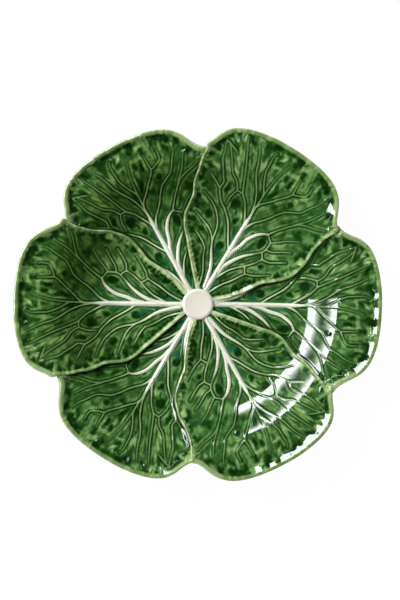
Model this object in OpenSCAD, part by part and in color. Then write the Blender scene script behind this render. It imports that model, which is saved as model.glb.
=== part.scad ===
// Cabbage-leaf plate in glazed earthenware: six overlapping leaves round a cut stalk, on a foot ring.
// Z is up and the foot stands on z = 0. X runs along the midrib of the first lower leaf.
// Three upper leaves lie over three lower ones, so the plate repeats every 120 degrees.

/* [Plate] */
// Diameter across the lobes of the leaves
plate_d = 265; // [190:1:310]
// Height from the table to the highest rim
plate_h = 30; // [24:0.5:38]
// Thickness of the clay in the leaves
wall_t = 5; // [4:0.25:7]
// Thickness of the clay at the rim
rim_t = 3; // [2:0.25:4]

/* [Leaves] */
// Depth of the notch between two lobes
notch_depth = 15.6; // [8:0.2:20]
// Turn from an upper leaf's midrib to the notch on its left, in degrees
notch_turn = 28.5; // [26:0.5:34]
// Half width of a notch on the left half of a leaf, in degrees
left_spread = 6.4; // [5:0.1:9]
// Half width of a notch on the right half of a leaf, in degrees
right_spread = 9.3; // [6:0.1:12]
// Step from the edge of an upper leaf down to the leaf below it
leaf_step = 1.5; // [0.5:0.1:3]
// Width of the raised lip along every edge
lip_w = 2.4; // [1.5:0.1:4]
// Height of the raised lip
lip_h = 0.9; // [0.4:0.1:1.6]

/* [Veins] */
// Width of a midrib where it leaves the stalk
rib_w = 4.2; // [2.5:0.1:6]
// Height of a midrib where it leaves the stalk
rib_h = 1.3; // [0.6:0.1:2.5]
// Side veins on each half of a leaf
vein_count = 6; // [4:1:7]
// Half width of a side vein, measured along the midrib
vein_w = 1.6; // [0.8:0.1:2.2]
// Height of a side vein at its root
vein_h = 0.9; // [0.3:0.1:1.6]
// Depth of the groove on each side of a vein
groove_h = 0.25; // [0:0.05:0.6]
// Swell of the leaf between two veins
swell_h = 0.45; // [0:0.05:1]

/* [Stalk] */
// Diameter of the cut stalk in the middle
stalk_d = 22.6; // [16:0.2:30]
// Height of the stalk above the floor of the plate
stalk_rise = 2.4; // [1:0.1:4]
// Radius of the stalk's rounded edge
stalk_edge_r = 0.9; // [0.4:0.1:1]
// Depth of the shallow dish in the top of the stalk
stalk_dip = 0.3; // [0:0.05:0.5]

/* [Foot] */
// Outer diameter of the foot ring
foot_d = 138; // [100:1:150]
// Width of the foot ring
foot_w = 7; // [5:0.5:10]
// Height of the foot ring
foot_h = 3; // [2:0.25:5]
// Radius of the foot ring's rounded edges
foot_edge_r = 1; // [0.5:0.1:1.5]
// Flat border under the plate, outside the foot ring
foot_border = 6; // [4:0.5:16]
// Width of the bend from that border up to the wall
bend_w = 14; // [10:1:20]

/* [Hidden] */
$fn = 128;

// Room for the glaze between the stalk and the leaves
stalk_fit = 0.15;
plate_r = plate_d / 2;
notch_r = plate_r - notch_depth;
stalk_r = stalk_d / 2;
leaf_r0 = stalk_r + stalk_fit;
floor_z = foot_h + wall_t;
dish_rise = plate_h - floor_z - leaf_step - lip_h;
// Where the wall starts to rise and where it levels out, as shares of the plate's radius
dish_start_share = 0.385;
dish_end_share = 0.92;
// Where a midrib ends, as a share of the plate's radius
rib_reach_share = 0.9;
// Radii of the lobes as shares of the plate's radius, because no two leaves are quite alike
lower_lobe_shares = [1, 0.977, 0.983];
upper_lobe_shares = [0.992, 1, 0.989];

// Edges of an upper leaf: place along the edge from stalk to notch, as a share of its length, then
// the swing in degrees by which it lies outside the line of the notch
left_edge_shares = [[0, 11.5], [0.08, 12], [0.2, 12.6], [0.4, 12.7], [0.47, 12.4], [0.53, 11],
                    [0.6, 7.7], [0.64, 5.9], [0.7, 4.9], [0.76, 4.1], [0.82, 2.5], [0.9, 1.1],
                    [0.95, -0.1], [1, 0]];
right_edge_shares = [[0, 19.5], [0.08, 16.5], [0.19, 13], [0.36, 8.8], [0.48, 10.9], [0.54, 11.6],
                     [0.71, 6.4], [0.86, 1], [0.97, -0.3], [1, 0]];

// A half leaf is a net of rows, which run from the midrib out to the edge as side veins do, and
// columns, which run from the stalk to the tip. The edge has the places 0 at the stalk and 1 at the
// tip of the leaf, and its notch is at notch_place_share.
notch_place_share = 0.5;
// Place of the first plain row
first_place_share = 0.08;
// How strongly the side veins sweep towards the tip: 1 would leave them square to the midrib
sweep_power = 1.67;
vein_pitch_share = (notch_place_share - first_place_share) / vein_count;
// How strongly the places on the rim gather towards the notch: 1 would spread them evenly
rim_power = 1.4;
// Half width of a vein where it ends at the edge, and its most at the midrib, as shares of the pitch
vein_end_share = 0.1;
vein_root_share = 0.35;
// Rows as [number of its vein, side of that vein from -1 to 1], with plain rows at both ends
ROWS = concat([[-1, 0], [0, 0]],
              [for (k = [1 : 2 * vein_count], s = [-1 : 1]) [k, s]],
              [[2 * vein_count + 1, 0]]);
last_row = len(ROWS) - 1;

// Columns: 0 to 2 round over half the midrib, the last three shape the lip
rib_cols = 2;
blade_cols = 4;
lip_cols = 3;
last_col = rib_cols + blade_cols + lip_cols;
// The underside has fewer columns, and each starts a fan of triangles at this column of the top
FAN_COLS = [0, rib_cols + 1, rib_cols + blade_cols, last_col - 1, last_col];
last_under = len(FAN_COLS) - 1;
// Places across the half leaf that the midrib and the lip may take up at most, as shares of a row
rib_limit_share = 0.45;
lip_limit_share = 0.12;
// Place and height of the midrib's shoulder, as shares of its half width and its height
rib_shoulder_share = 0.55;
rib_shoulder_h_share = 0.8;
// What the midrib and the side veins lose in width and height towards their ends, as shares
rib_taper_share = 0.8;
vein_taper_share = 0.7;
// Lift of an upper leaf at its midrib, as a share of the step at its edge
lift_root_share = 0.3;
// Drop of the outer side of the lip, as a share of the lip's height
lip_drop_share = 0.6;
// How far the underside's last row starts from the notch's radius towards the lobe's, as a share
under_reach_share = 0.7;
// Length before a notch over which the clay thins to the rim, as a share of the notch's depth
thinning_share = 0.6;

// Smooth step from 0 to 1
function ease(t) = let (x = max(0, min(1, t))) x * x * (3 - 2 * x);
function blend(a, b, t) = a + (b - a) * t;
function arc_len(r, turn) = r * turn * PI / 180;
function at_turn(r, turn, z) = [r * cos(turn), r * sin(turn), z];

// Height of the inside and of the underside at a radius, without veins and steps
function dish_z(r) = floor_z + dish_rise * ease((r / plate_r - dish_start_share)
                                                / (dish_end_share - dish_start_share));
function under_z(r) = blend(foot_h, dish_z(r) - wall_t, ease((r - foot_d / 2 - foot_border) / bend_w));

// A row's place at the edge, and the radius at which it leaves the midrib
function place(k) = k < 0 ? 0 : min(1, first_place_share + k * vein_pitch_share);
function root_at(b) = leaf_r0 + (rib_reach_share * plate_r - leaf_r0) * pow(b, sweep_power);
function vein_half_root(k) = min(vein_w, vein_root_share * (root_at(place(k)) - root_at(place(k - 1))));
function row_root(row) = root_at(row[0] > 2 * vein_count ? 1 : place(row[0]))
                         + row[1] * vein_half_root(row[0]);
function row_place(row) = row[0] > 2 * vein_count ? 1
                          : place(row[0]) + row[1] * vein_end_share * vein_pitch_share;

// Half leaves are told apart by the seam that they share with a neighbour: seam 0 is on the left of
// an upper leaf and on the right of a lower one, and seam 1 is the other way round.
function seam_of(is_upper, is_left) = is_upper == is_left ? 0 : 1;
function notch_angle(is_upper, seam) = is_upper == (seam == 0) ? notch_turn : 60 - notch_turn;
function notch_spread(is_upper, seam) = is_upper == (seam == 0) ? left_spread : right_spread;
function seam_swing(seam, x) = lookup(x, seam == 0 ? left_edge_shares : right_edge_shares);
function seam_angle(is_upper, seam, x) =
    notch_angle(is_upper, seam) + (is_upper ? 1 : -1) * seam_swing(seam, x);

// Outline of a half leaf at a place from 0 to 1, as [radius, turn from the midrib]
function rim_r(lobe_r, away, spread) = blend(notch_r, lobe_r, 1 - exp(-pow(away / spread, 2)));
function outline(is_upper, seam, lobe_r, b) =
    b <= notch_place_share
    ? let (x = b / notch_place_share) [blend(leaf_r0, notch_r, x), seam_angle(is_upper, seam, x)]
    : let (x = (b - notch_place_share) / (1 - notch_place_share),
           turn = notch_angle(is_upper, seam) * (1 - pow(x, rim_power)))
      [rim_r(lobe_r, notch_angle(is_upper, seam) - turn, notch_spread(is_upper, seam)), turn];

// Share of a row at which each column crosses it
function row_share(col, rib_share, lip_share) =
    col == 0 ? 0
    : col == 1 ? rib_shoulder_share * rib_share
    : col <= rib_cols + blade_cols
    ? blend(rib_share, 1 - 2 * lip_share, (col - rib_cols) / (blade_cols + 1))
    : 1 - (last_col - col) * lip_share;

// Relief of the midrib, the side veins and the lip over the plain leaf
function rib_z(col, reach) = rib_h * (1 - rib_taper_share * reach)
                             * (col == 0 ? 1 : col == 1 ? rib_shoulder_h_share : 0);
function vein_z(row, seam, f) =
    row[0] < 1 || row[0] > 2 * vein_count ? 0
    : row[0] % 2 == seam ? swell_h * 4 * f * (1 - f)
    : row[1] == 0 ? vein_h * (1 - vein_taper_share * f) : -groove_h * (1 - f);
function lip_z(is_upper, col, b) =
    let (bare = is_upper ? 1 : ease((b - notch_place_share) / vein_pitch_share))
    col == last_col - 1 ? lip_h * bare
    : col == last_col ? blend(0, -lip_drop_share * lip_h, ease((b - notch_place_share) / vein_pitch_share))
    : 0;

// One corner of the net on top of a half leaf
function top_point(is_upper, is_left, lobe_r, i, col) =
    let (seam = seam_of(is_upper, is_left), row = ROWS[i], b = row_place(row), root = row_root(row),
         edge = outline(is_upper, seam, lobe_r, b), reach = pow(b, sweep_power),
         across = arc_len(root, edge[1]), along = edge[0] - root,
         rib_share = min(rib_limit_share,
                         rib_w / 2 * (1 - rib_taper_share * reach) / max(across, along / 4)),
         lip_share = min(lip_limit_share, lip_w / norm([across, along])),
         f = row_share(col, rib_share, lip_share), r = root + along * f,
         lift = is_upper ? leaf_step * blend(lift_root_share, 1, pow(min(1, f / (1 - lip_share)), 2)) : 0,
         vein = col < rib_cols || col > rib_cols + blade_cols ? 0 : vein_z(row, seam, f))
    at_turn(r, (is_left ? 1 : -1) * edge[1] * f,
            dish_z(r) + lift + rib_z(col, reach) + vein + lip_z(is_upper, col, b));

// One corner of the net under a half leaf, whose rows lie round the plate's axis. It lies below the
// top's corner at the edge, where the clay thins towards the rim.
function under_point(is_upper, is_left, lobe_r, i, col) =
    let (seam = seam_of(is_upper, is_left), b = row_place(ROWS[i]),
         edge = outline(is_upper, seam, lobe_r, b),
         past = (b - notch_place_share) / (1 - notch_place_share),
         root = past > 0 ? blend(notch_r, lobe_r, past * under_reach_share) : edge[0],
         f = col / last_under, r = blend(root, edge[0], f),
         thin = past >= 0 ? 1 : ease((edge[0] - notch_r) / (thinning_share * notch_depth) + 1),
         edge_z = blend(under_z(r), top_point(is_upper, is_left, lobe_r, i, last_col).z - rim_t, thin))
    at_turn(r, (is_left ? 1 : -1) * edge[1] * f, col < last_under ? under_z(r) : edge_z);

// Both nets have their midrib corners first, then the left half, then the right half, which shares
// the midrib and the last row with the left one
function net_points(is_upper, lobe_r, last_c, is_top) =
    [for (half = [0 : 2], i = [0 : last_row - (half == 2 ? 1 : 0)], c = half == 0 ? [0 : 0] : [1 : last_c])
        is_top ? top_point(is_upper, half < 2, lobe_r, i, c)
               : under_point(is_upper, half < 2, lobe_r, i, c)];
function corner(is_left, i, c, last_c) =
    let (rows = last_row + 1)
    c == 0 ? i
    : rows + (is_left || i == last_row ? 0 : rows * last_c) + i * last_c + c - 1;
// A triangle, turned over on the right half
function tri(is_left, a, b, c) = is_left ? [a, b, c] : [a, c, b];

module leaf(is_upper, lobe_r) {
    top = net_points(is_upper, lobe_r, last_col, true);
    under = net_points(is_upper, lobe_r, last_under, false);
    function t(l, i, c) = corner(l, i, c, last_col);
    function u(l, i, c) = len(top) + corner(l, i, c, last_under);
    blade = [for (l = [true, false], i = [0 : last_row - 1], c = [0 : last_col - 1])
        each [tri(l, t(l, i, c), t(l, i, c + 1), t(l, i + 1, c)),
              tri(l, t(l, i, c + 1), t(l, i + 1, c + 1), t(l, i + 1, c))]];
    back = [for (l = [true, false], i = [0 : last_row - 1], c = [0 : last_under - 1])
        each [tri(l, u(l, i, c), u(l, i + 1, c), u(l, i, c + 1)),
              tri(l, u(l, i, c + 1), u(l, i + 1, c), u(l, i + 1, c + 1))]];
    edge = [for (l = [true, false], i = [0 : last_row - 1])
        each [tri(l, u(l, i, last_under), u(l, i + 1, last_under), t(l, i + 1, last_col)),
              tri(l, u(l, i, last_under), t(l, i + 1, last_col), t(l, i, last_col))]];
    root = [for (l = [true, false], c = [0 : last_under - 1])
        each concat([for (k = [FAN_COLS[c] : FAN_COLS[c + 1] - 1])
                        tri(l, u(l, 0, c), t(l, 0, k + 1), t(l, 0, k))],
                    [tri(l, u(l, 0, c), u(l, 0, c + 1), t(l, 0, FAN_COLS[c + 1]))])];
    polyhedron(concat(top, under), concat(blade, back, edge, root), convexity = 6);
}

// Leaf under its neighbours, with its midrib at 0, 120 or 240 degrees
module lower_leaf(k) {
    color("darkgreen") rotate(120 * k) leaf(false, plate_r * lower_lobe_shares[k]);
}

// Leaf on top of its neighbours, with its midrib at 60, 180 or 300 degrees
module upper_leaf(k) {
    color("forestgreen") rotate(60 + 120 * k) leaf(true, plate_r * upper_lobe_shares[k]);
}

// Quarter circle round a centre, as points of an outline
function corner_arc(centre, r, from) =
    [for (step = [0 : 6]) centre + r * [cos(from + 15 * step), sin(from + 15 * step)]];

// The cut stalk: a plug that the leaves grow from, with a rounded edge and a shallow dish on top
module stalk() {
    top_z = floor_z + stalk_rise;
    color("ivory") rotate_extrude()
        polygon(concat([[0, foot_h], [stalk_r, foot_h]],
                       corner_arc([stalk_r - stalk_edge_r, top_z - stalk_edge_r], stalk_edge_r, 0),
                       [[stalk_r - 2 * stalk_edge_r - stalk_dip, top_z - stalk_dip],
                        [0, top_z - stalk_dip]]));
}

// The foot: a turned ring whose flat face the plate stands on
module foot_ring() {
    foot_r = foot_d / 2;
    color("linen") rotate_extrude()
        polygon(concat([[foot_r, foot_h], [foot_r - foot_w, foot_h]],
                       corner_arc([foot_r - foot_w + foot_edge_r, foot_edge_r], foot_edge_r, 180),
                       corner_arc([foot_r - foot_edge_r, foot_edge_r], foot_edge_r, 270)));
}

foot_ring();
stalk();
lower_leaf(0);  // lower_leaf_1
lower_leaf(1);  // lower_leaf_2
lower_leaf(2);  // lower_leaf_3
upper_leaf(0);  // upper_leaf_1
upper_leaf(1);  // upper_leaf_2
upper_leaf(2);  // upper_leaf_3
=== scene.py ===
import math

import bmesh
import bpy
import numpy as np
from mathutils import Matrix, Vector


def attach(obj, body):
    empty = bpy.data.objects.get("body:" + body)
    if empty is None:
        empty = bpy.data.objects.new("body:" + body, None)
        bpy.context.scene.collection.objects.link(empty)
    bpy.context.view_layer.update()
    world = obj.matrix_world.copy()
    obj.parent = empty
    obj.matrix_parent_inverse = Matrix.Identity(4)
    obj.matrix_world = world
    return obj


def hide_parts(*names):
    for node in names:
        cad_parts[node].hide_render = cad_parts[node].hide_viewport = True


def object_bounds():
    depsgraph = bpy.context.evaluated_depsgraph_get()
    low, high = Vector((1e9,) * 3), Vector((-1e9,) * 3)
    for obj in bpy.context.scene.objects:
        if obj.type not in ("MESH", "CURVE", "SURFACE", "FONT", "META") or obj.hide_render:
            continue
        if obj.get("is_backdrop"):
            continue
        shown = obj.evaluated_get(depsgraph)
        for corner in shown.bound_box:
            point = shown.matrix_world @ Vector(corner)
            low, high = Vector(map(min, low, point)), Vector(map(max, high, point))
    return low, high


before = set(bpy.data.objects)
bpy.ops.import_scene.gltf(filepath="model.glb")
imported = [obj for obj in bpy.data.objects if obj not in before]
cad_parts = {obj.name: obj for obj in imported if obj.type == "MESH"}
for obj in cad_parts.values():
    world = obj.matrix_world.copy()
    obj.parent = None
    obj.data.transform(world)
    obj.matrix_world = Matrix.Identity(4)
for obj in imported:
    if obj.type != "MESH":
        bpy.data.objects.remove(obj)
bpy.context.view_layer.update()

mm = 0.001

# The plate in mm, with the sizes of the CAD source and a wall that is steepest a little farther out.
# Here and below, a pair given to climb is where a change starts and how wide it is, and a pair given
# to bell is the middle and the width of a band.
plate = {
    "radius": 132.5,
    "floorZ": 8.0,  # inside, beside the stalk
    "dishRise": 19.6,
    "dishStart": 0.385,  # the wall rises between these shares of the radius
    "dishEnd": 0.92,
    "dishSkew": 1.15,  # moves the steepest place of the wall outwards
    "wall": 5.0,
    "rimWall": 3.0,
    "rimThins": (112, 14),  # radius at which the clay thins to the rim's
    "rimSink": 0.5,
    "footTop": 3.0,
    "flatUnder": 75.0,  # radius of the flat part underneath
    "bend": 14.0,
    "leafStep": 1.5,
    "stepAtMidrib": 0.3,
    "stepPower": 4,  # how late the step at the midrib grows to the full one
    "lipHeight": 0.85,
    "lipHalf": 1.1,  # from the crest of the lip out to its side
    "lipFlank": 1.7,
    "lipFrom": (0.02, 0.08),  # share of the leaf's length at which its lips begin
    "steepSide": 0.5,  # slope of the inner side of a side lip near the heart
    "evenSide": 0.335,  # the slope at which it shines
    "evenTo": (52, 10),  # radius at which that slope gives way to the rounded flank
    "rimFlank": 6.0,  # the inner side of the rim rises evenly over this width
    "rimWander": 3.4,  # how much the width of the flank changes along the rim
    "wanderTo": (8, 5),
    "rimSlope": 0.428,
    "rimBreak": 0.22,  # what the flank loses in slope where a fold crosses it
    "breakSoftness": 0.3,
    "rimSoftness": 0.6,
    "rimTop": 0.75,  # height of the rim over the level part of the wall
    "gutter": (100, 24),  # radius at which the wall sinks towards the rim's foot
}


def ease(t):
    t = np.clip(t, 0, 1)
    return t * t * (3 - 2 * t)


def climb(x, start, width):
    # Softly from 0 at the start to 1 one width farther on
    return ease((x - start) / width)


def bell(x, middle, width):
    return np.exp(-((x - middle) / width) ** 2)


def hump(t):
    # Half a cosine wave, from 1 down to 0
    return 0.5 + 0.5 * np.cos(math.pi * np.clip(t, 0, 1))


def dishHeight(r):
    rise = (r / plate["radius"] - plate["dishStart"]) / (plate["dishEnd"] - plate["dishStart"])
    return plate["floorZ"] + plate["dishRise"] * ease(np.clip(rise, 0, 1) ** plate["dishSkew"])


def underHeight(r):
    bent = climb(r, plate["flatUnder"], plate["bend"])
    return plate["footTop"] + (dishHeight(r) - plate["wall"] - plate["footTop"]) * bent


# One leaf with its midrib along x, in mm: outline, veins and the marks between them
leafShape = {
    "rightSide": [(6.9, -8.4), (9.3, -10.6), (12.3, -14), (15, -17), (20, -21), (25, -25), (30, -28.3),
        (34, -30.6), (37.5, -33.5), (40, -36.8), (43, -40.3), (46, -43.6), (48.5, -46), (51, -47.9),
        (55, -49.9), (60, -51.3), (65, -52.5), (70, -52.7), (75, -52.6), (80, -53.2), (84, -54.2), (87, -54.8),
        (90, -56.1), (93, -57.7), (96, -59.1), (97.8, -59.8), (98.7, -59.8)],
    "rim": [(98.7, -59.8), (99.4, -59.1), (100.3, -57.9), (101.9, -56.4), (104.5, -54.9), (109, -53),
        (114, -50.7), (118, -48.1), (121, -45.2), (123.6, -42), (125.8, -38.2), (127.6, -33.8), (129.2, -28.6),
        (130.4, -23), (131.4, -16.5), (132.1, -9), (132.4, -1), (132.4, 6), (132, 13), (131.1, 19.5),
        (130, 25.5), (128.6, 31), (126.8, 36), (124.5, 40.6), (121.5, 44.6), (117.8, 47.7), (113.8, 49.9),
        (110, 51.3), (107, 52.7), (105.2, 53.7), (103.9, 54.2)],
    "leftSide": [(8.4, 7), (10, 8.5), (12.5, 10.6), (15, 12.9), (20, 17.5), (25, 21.8), (30, 26.3), (35, 30.6),
        (37.5, 32.7), (40, 35), (43, 37.8), (46, 39.9), (49, 41.6), (52, 42.8), (55, 43.4), (60, 43.9),
        (65, 44.5), (68, 45.3), (71, 46.8), (74, 48.2), (77, 49.2), (80, 49.9), (84, 50.5), (88, 51.5),
        (92, 52.3), (95, 52.7), (98, 52.9), (100.5, 53.2), (102.3, 53.9), (103.9, 54.2)],
    # The rim of a lower leaf goes on under its neighbours
    "lowerRimRight": [(96.4, -63.6), (97.6, -62.2), (98.6, -61.2), (99.7, -59.9), (101.6, -57.9),
        (104.5, -55.7), (109, -53.3)],
    "lowerRimLeft": [(110, 51.3), (107, 52.6), (104.8, 53.8), (102.7, 55.2), (101, 56.8), (99, 58.6)],
    "ownRim": (112, 50),  # it keeps the rim beyond this x or within this y
    "between": 60,  # degrees from one leaf to the next
    "seamEnd": 108,  # radius up to which a lower leaf follows its neighbours' seams
    "keepEvery": 4,  # of the seam's points
    "cornerReach": 7.0,
    "tuckedUnder": 1.5,
    # How far the border of the underside lies inside the crest's, at the rim and at the sides
    "underRim": 0.8,
    "underSide": 0.3,
    "underTucked": 0.5,
}

# Veins as places in mm and widths along them
veinPaths = {
    "midrib": ([(10, 0.3), (43, 0.3), (60, 0.3), (75, 0.3), (86, 0), (97, -0.6), (108, -2), (119, -5.4)],
        [3.6, 3.3, 3.15, 3.0, 2.6, 1.3, 1.0, 0.85, 0.6]),
    "rightHeart": ([(11.5, -2.3), (20, -6.5), (28, -12.5), (36.3, -18), (38, -22.5), (41, -28), (45, -34)],
        [1.1, 1.0, 0.9, 0.7]),
    "rightLinkOne": ([(36.3, -18), (39, -16.3), (41.5, -15)], [0.9, 0.8]),
    "rightLinkTwo": ([(24, -1.6), (27, -3), (33, -6.5), (38, -11), (41.5, -15), (47, -20), (52.2, -23.5)],
        [1.4, 1.05, 0.8, 0.8]),
    "rightLinkThree": ([(52.2, -23.5), (54.5, -22), (56.5, -20.5)], [0.9, 1.0]),
    "rightFork": ([(52.2, -23.5), (52.5, -28), (55, -33), (59, -39.5)], [1.0, 0.9, 0.6]),
    "rightThickOne": ([(27, -0.8), (33, -1.9), (38, -4), (43, -7), (48, -11), (52, -15.5), (56.5, -20.5)],
        [2.3, 2.2, 2.05, 1.8, 1.4, 1.1]),
    "rightNet": ([(56.5, -20.5), (59.5, -22), (65.5, -22.3), (68, -19.9), (70, -17.7)], [1.1, 1.1, 1.0]),
    "rightNetOne": ([(59.5, -22), (60.5, -27), (64, -33), (67, -39)], [0.9, 0.8, 0.5]),
    "rightNetTwo": ([(65.5, -22.3), (68, -26), (72, -31), (75, -36), (77, -40)], [1.0, 0.8, 0.5]),
    "rightThickTwo": ([(40, -0.6), (46, -2), (52, -4.5), (59, -6.5), (64, -9.5), (68, -13.5), (70, -17.7)],
        [2.3, 2.2, 2.1, 1.9, 1.4]),
    "rightLong": ([(70, -17.7), (73, -19.8), (77, -23), (81, -26.5), (84, -29.5), (87, -33), (89, -37.5),
        (90, -42), (91, -47), (93, -52)], [1.3, 0.9, 0.8, 0.7, 0.5]),
    "rightLongTwo": ([(84, -29.5), (88, -32.8), (92, -37), (96, -40), (100, -42.5), (104, -45)], [0.6, 0.5]),
    "rightOuterOne": ([(65, -0.8), (68, -2), (72, -4.5), (75, -7.5), (80, -12), (85, -15.5), (90, -20),
        (92.5, -25), (95, -29.5), (98, -32), (102, -34.5), (106, -37.5), (110, -39.5), (114, -40.5)],
        [1.6, 1.25, 1.1, 1.0, 0.95, 0.9, 0.8, 0.6]),
    "rightOuterTwo": ([(83, -0.3), (86, -1.8), (90, -6), (95, -10.5), (100, -15.5), (103.5, -17.8),
        (108, -17.8), (112, -17.8), (116, -17.4)], [1.2, 1.1, 1.1, 1.2, 0.9, 0.6]),
    "rightOuterFork": ([(103.5, -17.8), (104, -20), (105.5, -24), (107.5, -27), (111, -28), (115, -28)],
        [1.1, 0.8, 1.0, 0.8, 0.6]),
    "leftHeart": ([(12, 6.3), (18, 7.8), (24, 10), (29, 13), (34, 15.5), (38, 17)], [0.9, 0.8, 0.5]),
    "leftHeartTwo": ([(38.5, 17.5), (41, 20.5), (43, 24), (46, 30)], [0.6, 0.7, 0.5]),
    "leftThick": ([(13, 2.2), (22, 4.2), (28, 6), (33, 8.5), (38, 11.5), (43, 14), (47, 15.3), (55, 17),
        (60, 19.3), (64, 22.5), (68, 27), (71, 33), (73, 39)], [2.4, 2.2, 1.9, 1.5, 1.15, 1.0, 0.9, 0.8, 0.6]),
    "leftFork": ([(44.5, 14.6), (49, 18), (52, 22), (54, 26.5), (56, 32), (57.5, 36.5)], [1.2, 1.0, 0.8, 0.5]),
    "leftOne": ([(44.5, 1), (47, 2.4), (50, 4.5), (56, 8), (62, 11.5), (66, 15), (70, 19.5), (73, 24),
        (77, 27.5), (81, 30), (86, 29.7), (90, 32.3), (95, 35.6), (100, 38.8), (106, 40.6), (113, 43)],
        [1.4, 1.2, 1.1, 1.1, 1.1, 1.0, 0.9, 0.9]),
    "leftOneFork": ([(81, 30), (82.5, 32.5), (84.5, 36.5), (87, 41)], [0.9, 0.7, 0.6]),
    "leftTip": ([(113, 43), (111.6, 38), (109, 31.5)], [1.1, 0.9, 0.5]),
    "leftTwo": ([(66, 0.9), (69, 1.8), (74, 4.5), (80, 8), (83, 10.5), (86, 13.5), (90, 15.5), (97, 18.5),
        (105, 22), (113, 26), (120, 29.5), (124, 30.6)], [1.5, 1.2, 1.1, 0.9, 0.9, 0.9, 0.8]),
    "leftTwoLoop": ([(85.6, 13.3), (86, 16.5), (85.3, 18.2), (82, 19.4), (78, 20.2), (73, 20)],
        [0.8, 0.9, 0.7, 0.5]),
    "leftTwoBranch": ([(85.8, 18), (91, 21.5), (94, 26), (97, 29), (103, 33), (108, 36.5), (112, 40)],
        [0.9, 0.9, 0.7, 0.6]),
    "leftThree": ([(76, 0.5), (79, 1), (85, 2.5), (92, 5.5), (98, 9.5), (104, 13), (110, 15), (116, 17.5),
        (122, 20.8)], [1.4, 1.1, 1.2, 1.2, 1.0, 0.8]),
    "leftFour": ([(91, -0.2), (94, 0.6), (98, 3), (103, 5.5), (108, 7.2), (114, 7.6), (120, 7.7), (123, 6.3)],
        [1.1, 1.1, 1.1, 1.0, 0.7]),
}

# Dark hollows as x, y, half length, half width in mm and turn in degrees
pits = [
    (76.5, 14.3, 3.1, 3, 0), (84.5, 25.2, 3.4, 1.6, 0), (66.3, 8, 2.3, 1.4, 0), (71.6, 10.6, 2.3, 0.9, 10),
    (60.6, 27.8, 2.5, 2.1, 0), (49, 27, 1.7, 2, 0), (45, 8.4, 2.6, 2.2, 0), (110.5, -8.2, 2.5, 1.8, 0),
    (107.9, -12.4, 2.6, 1.4, -20), (63, -16.5, 4, 2, 0), (23.8, -16.5, 2.2, 1.8, 0), (30.5, -21, 2, 1.6, -30),
    (46.5, -25.5, 1.9, 1.8, 0), (117.3, -37.6, 2.2, 1.5, 0), (96.8, -20.9, 1.8, 1.8, 0), (22, -6.3, 1.5, 1, 0),
    (33, -23.3, 1.7, 1.4, 0)
]
ruffles = [
    (127, -0.6, 1.6, 2.7, 0), (122.6, 3.4, 3, 0.9, -60), (117.1, 2.9, 3, 1.1, -60), (125.5, 12.8, 2.8, 0.8, 15),
    (127.2, 8, 1.3, 2, 0), (124.2, 24.5, 3.8, 1.6, 15), (121.8, 26.8, 2.2, 1.3, -40),
    (120.5, 38.2, 2.2, 1.1, -10), (122.8, 33.6, 2.2, 0.6, 0), (117.4, 42.2, 1.5, 2, 20),
    (112.7, 34.6, 2.6, 0.9, 62), (110.5, 45.5, 2.5, 1.3, -20), (105.8, 45.6, 2.2, 1.4, 60),
    (100.2, 47.4, 2.2, 1.8, 0), (95.8, 48.4, 1, 1.2, 0), (91.6, 45, 4.2, 1.1, 88), (87.4, 48, 1, 1.2, 0),
    (80.6, 45.4, 1.8, 2, 0), (77.2, 42.2, 1.4, 1.6, 0), (68.4, 40.8, 1.6, 1.2, 0), (62, 38.6, 2, 1.6, 20),
    (52, 35.8, 1.8, 1.7, 0), (73, 44, 1.2, 1.4, 0), (88.2, 4.4, 4.5, 1.2, 25), (91.8, 1.9, 4.4, 0.9, 22),
    (125.6, -12.3, 4, 1.5, 0), (126.8, -16.2, 2.2, 0.8, -40), (118.2, -17.5, 2.8, 1.1, 0),
    (125, -22.9, 2.8, 1.3, 15), (126, -26.6, 1.6, 0.9, -50), (122.6, -31.3, 2, 1.9, 0),
    (114.4, -34, 3, 1.4, 35), (119.4, -35.4, 2.2, 0.9, -40), (122, -38.3, 1.7, 1.3, 0),
    (113.2, -44.5, 4.3, 1.9, 18), (104.8, -48.7, 3.8, 2.1, 20), (97.4, -51.6, 2.3, 1.6, 0),
    (89, -10.8, 2, 1.8, -40), (80, -36.6, 2.6, 3, 0), (75.3, -45, 2.2, 2.4, 0), (69, -46.8, 2, 1.8, 0),
    (65.6, -44.6, 1.8, 1.5, 0), (86.6, -16, 2.6, 1.2, -50), (57.5, -45, 1.9, 1.6, 0), (52.5, -41.5, 2, 1.6, 0),
    (47.8, -38.6, 1.8, 1.1, 0), (37, -26, 1.5, 1.3, 0), (20.6, 14.4, 2, 1.5, 30), (27, 17.6, 1.8, 1.6, 30),
    (31.6, 20.2, 1.6, 1.4, 30), (36.2, 26, 1.1, 1.5, 0), (40.6, 23, 1.6, 2, 40), (44, 31, 1.7, 2.2, 30),
    (85, -26, 4, 0.9, -48), (96, -5.5, 4, 0.8, -35), (115, -27, 4.5, 0.6, 0), (128, 19, 1, 2.2, 0),
    (110, 20.5, 5, 0.7, 22), (103, 9, 4, 0.6, 20)
]
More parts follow.
